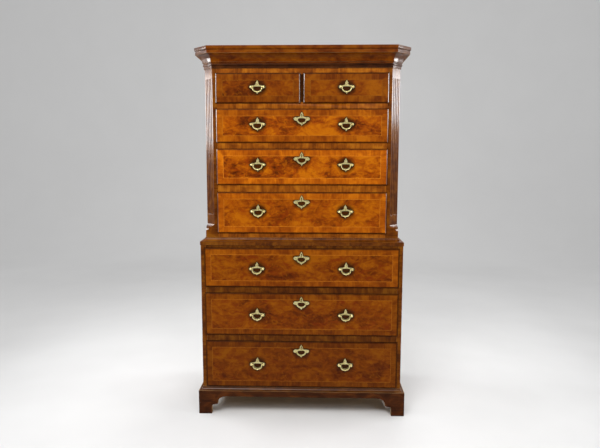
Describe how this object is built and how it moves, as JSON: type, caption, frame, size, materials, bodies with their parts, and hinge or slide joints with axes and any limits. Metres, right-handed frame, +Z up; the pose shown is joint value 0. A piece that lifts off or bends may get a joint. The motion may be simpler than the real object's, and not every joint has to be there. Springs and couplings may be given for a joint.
{
  "type": "chest on chest",
  "caption": "Tall walnut chest on chest: an upper chest with fluted canted corners and a moulded cornice on a wider lower chest with bracket feet and brass bail handles.",
  "frame": {"origin": "on the floor, at the centre of the whole chest's width and depth", "axes": "+Z up, the drawers face -Y, +X to the right seen from the front"},
  "size_m": [1.062, 0.5656, 1.85],
  "materials": {
    "drawer_walnut": "figured walnut veneer, waxed and polished",
    "carcase_walnut": "walnut veneer, waxed and polished",
    "dark_walnut": "dark walnut, waxed and polished",
    "secondary_wood": "plain unpolished oak and pine",
    "brass": "old lacquered brass"
  },
  "bodies": {
    "carcase": {"bracket_base": "dark_walnut", "lower_side_left": "carcase_walnut", "lower_side_right": "carcase_walnut", "lower_bottom_board": "secondary_wood", "lower_divider_2": "carcase_walnut", "lower_divider_1": "carcase_walnut", "lower_top": "carcase_walnut", "lower_back_boards": "secondary_wood", "upper_side_left": "carcase_walnut", "upper_side_right": "carcase_walnut", "canted_corner_left": "dark_walnut", "canted_corner_right": "dark_walnut", "upper_bottom_board": "secondary_wood", "upper_divider_3": "carcase_walnut", "upper_divider_2": "carcase_walnut", "upper_divider_1": "carcase_walnut", "cornice": "carcase_walnut", "upper_back_boards": "secondary_wood"},
    "short_drawer_left": {"short_drawer_left": "drawer_walnut", "short_drawer_left_plate": "brass"},
    "short_drawer_left_bail": {"short_drawer_left_bail": "brass"},
    "short_drawer_right": {"short_drawer_right": "drawer_walnut", "short_drawer_right_plate": "brass"},
    "short_drawer_right_bail": {"short_drawer_right_bail": "brass"},
    "upper_long_drawer_1": {"upper_long_drawer_1": "drawer_walnut", "upper_long_drawer_1_plate_left": "brass", "upper_long_drawer_1_plate_right": "brass", "upper_long_drawer_1_escutcheon": "brass"},
    "upper_long_drawer_1_bail_left": {"upper_long_drawer_1_bail_left": "brass"},
    "upper_long_drawer_1_bail_right": {"upper_long_drawer_1_bail_right": "brass"},
    "upper_long_drawer_2": {"upper_long_drawer_2": "drawer_walnut", "upper_long_drawer_2_plate_left": "brass", "upper_long_drawer_2_plate_right": "brass", "upper_long_drawer_2_escutcheon": "brass"},
    "upper_long_drawer_2_bail_left": {"upper_long_drawer_2_bail_left": "brass"},
    "upper_long_drawer_2_bail_right": {"upper_long_drawer_2_bail_right": "brass"},
    "upper_long_drawer_3": {"upper_long_drawer_3": "drawer_walnut", "upper_long_drawer_3_plate_left": "brass", "upper_long_drawer_3_plate_right": "brass", "upper_long_drawer_3_escutcheon": "brass"},
    "upper_long_drawer_3_bail_left": {"upper_long_drawer_3_bail_left": "brass"},
    "upper_long_drawer_3_bail_right": {"upper_long_drawer_3_bail_right": "brass"},
    "lower_long_drawer_1": {"lower_long_drawer_1": "drawer_walnut", "lower_long_drawer_1_plate_left": "brass", "lower_long_drawer_1_plate_right": "brass", "lower_long_drawer_1_escutcheon": "brass"},
    "lower_long_drawer_1_bail_left": {"lower_long_drawer_1_bail_left": "brass"},
    "lower_long_drawer_1_bail_right": {"lower_long_drawer_1_bail_right": "brass"},
    "lower_long_drawer_2": {"lower_long_drawer_2": "drawer_walnut", "lower_long_drawer_2_plate_left": "brass", "lower_long_drawer_2_plate_right": "brass", "lower_long_drawer_2_escutcheon": "brass"},
    "lower_long_drawer_2_bail_left": {"lower_long_drawer_2_bail_left": "brass"},
    "lower_long_drawer_2_bail_right": {"lower_long_drawer_2_bail_right": "brass"},
    "lower_long_drawer_3": {"lower_long_drawer_3": "drawer_walnut", "lower_long_drawer_3_plate_left": "brass", "lower_long_drawer_3_plate_right": "brass", "lower_long_drawer_3_escutcheon": "brass"},
    "lower_long_drawer_3_bail_left": {"lower_long_drawer_3_bail_left": "brass"},
    "lower_long_drawer_3_bail_right": {"lower_long_drawer_3_bail_right": "brass"}
  },
  "joints": [
    {"name": "short_drawer_left_slide", "type": "slide", "parent": "carcase", "child": "short_drawer_left", "axis": [0, -1, 0], "range_m": [0, 0.38]},
    {"name": "short_drawer_left_bail_hinge", "type": "hinge", "parent": "short_drawer_left", "child": "short_drawer_left_bail", "pos_m": [-0.218, -0.25385, 1.65825], "axis": [-1, 0, 0], "range_deg": [-18, 198]},
    {"name": "short_drawer_right_slide", "type": "slide", "parent": "carcase", "child": "short_drawer_right", "axis": [0, -1, 0], "range_m": [0, 0.38]},
    {"name": "short_drawer_right_bail_hinge", "type": "hinge", "parent": "short_drawer_right", "child": "short_drawer_right_bail", "pos_m": [0.218, -0.25385, 1.65825], "axis": [-1, 0, 0], "range_deg": [-18, 198]},
    {"name": "upper_long_drawer_1_slide", "type": "slide", "parent": "carcase", "child": "upper_long_drawer_1", "axis": [0, -1, 0], "range_m": [0, 0.38]},
    {"name": "upper_long_drawer_1_bail_left_hinge", "type": "hinge", "parent": "upper_long_drawer_1", "child": "upper_long_drawer_1_bail_left", "pos_m": [-0.218, -0.25385, 1.4795], "axis": [-1, 0, 0], "range_deg": [-18, 198]},
    {"name": "upper_long_drawer_1_bail_right_hinge", "type": "hinge", "parent": "upper_long_drawer_1", "child": "upper_long_drawer_1_bail_right", "pos_m": [0.218, -0.25385, 1.4795], "axis": [-1, 0, 0], "range_deg": [-18, 198]},
    {"name": "upper_long_drawer_2_slide", "type": "slide", "parent": "carcase", "child": "upper_long_drawer_2", "axis": [0, -1, 0], "range_m": [0, 0.38]},
    {"name": "upper_long_drawer_2_bail_left_hinge", "type": "hinge", "parent": "upper_long_drawer_2", "child": "upper_long_drawer_2_bail_left", "pos_m": [-0.218, -0.25385, 1.28175], "axis": [-1, 0, 0], "range_deg": [-18, 198]},
    {"name": "upper_long_drawer_2_bail_right_hinge", "type": "hinge", "parent": "upper_long_drawer_2", "child": "upper_long_drawer_2_bail_right", "pos_m": [0.218, -0.25385, 1.28175], "axis": [-1, 0, 0], "range_deg": [-18, 198]},
    {"name": "upper_long_drawer_3_slide", "type": "slide", "parent": "carcase", "child": "upper_long_drawer_3", "axis": [0, -1, 0], "range_m": [0, 0.38]},
    {"name": "upper_long_drawer_3_bail_left_hinge", "type": "hinge", "parent": "upper_long_drawer_3", "child": "upper_long_drawer_3_bail_left", "pos_m": [-0.218, -0.25385, 1.05], "axis": [-1, 0, 0], "range_deg": [-18, 198]},
    {"name": "upper_long_drawer_3_bail_right_hinge", "type": "hinge", "parent": "upper_long_drawer_3", "child": "upper_long_drawer_3_bail_right", "pos_m": [0.218, -0.25385, 1.05], "axis": [-1, 0, 0], "range_deg": [-18, 198]},
    {"name": "lower_long_drawer_1_slide", "type": "slide", "parent": "carcase", "child": "lower_long_drawer_1", "axis": [0, -1, 0], "range_m": [0, 0.4]},
    {"name": "lower_long_drawer_1_bail_left_hinge", "type": "hinge", "parent": "lower_long_drawer_1", "child": "lower_long_drawer_1_bail_left", "pos_m": [-0.224, -0.27785, 0.7625], "axis": [-1, 0, 0], "range_deg": [-18, 198]},
    {"name": "lower_long_drawer_1_bail_right_hinge", "type": "hinge", "parent": "lower_long_drawer_1", "child": "lower_long_drawer_1_bail_right", "pos_m": [0.224, -0.27785, 0.7625], "axis": [-1, 0, 0], "range_deg": [-18, 198]},
    {"name": "lower_long_drawer_2_slide", "type": "slide", "parent": "carcase", "child": "lower_long_drawer_2", "axis": [0, -1, 0], "range_m": [0, 0.4]},
    {"name": "lower_long_drawer_2_bail_left_hinge", "type": "hinge", "parent": "lower_long_drawer_2", "child": "lower_long_drawer_2_bail_left", "pos_m": [-0.224, -0.27785, 0.5245], "axis": [-1, 0, 0], "range_deg": [-18, 198]},
    {"name": "lower_long_drawer_2_bail_right_hinge", "type": "hinge", "parent": "lower_long_drawer_2", "child": "lower_long_drawer_2_bail_right", "pos_m": [0.224, -0.27785, 0.5245], "axis": [-1, 0, 0], "range_deg": [-18, 198]},
    {"name": "lower_long_drawer_3_slide", "type": "slide", "parent": "carcase", "child": "lower_long_drawer_3", "axis": [0, -1, 0], "range_m": [0, 0.4]},
    {"name": "lower_long_drawer_3_bail_left_hinge", "type": "hinge", "parent": "lower_long_drawer_3", "child": "lower_long_drawer_3_bail_left", "pos_m": [-0.224, -0.27785, 0.26525], "axis": [-1, 0, 0], "range_deg": [-18, 198]},
    {"name": "lower_long_drawer_3_bail_right_hinge", "type": "hinge", "parent": "lower_long_drawer_3", "child": "lower_long_drawer_3_bail_right", "pos_m": [0.224, -0.27785, 0.26525], "axis": [-1, 0, 0], "range_deg": [-18, 198]}
  ]
}
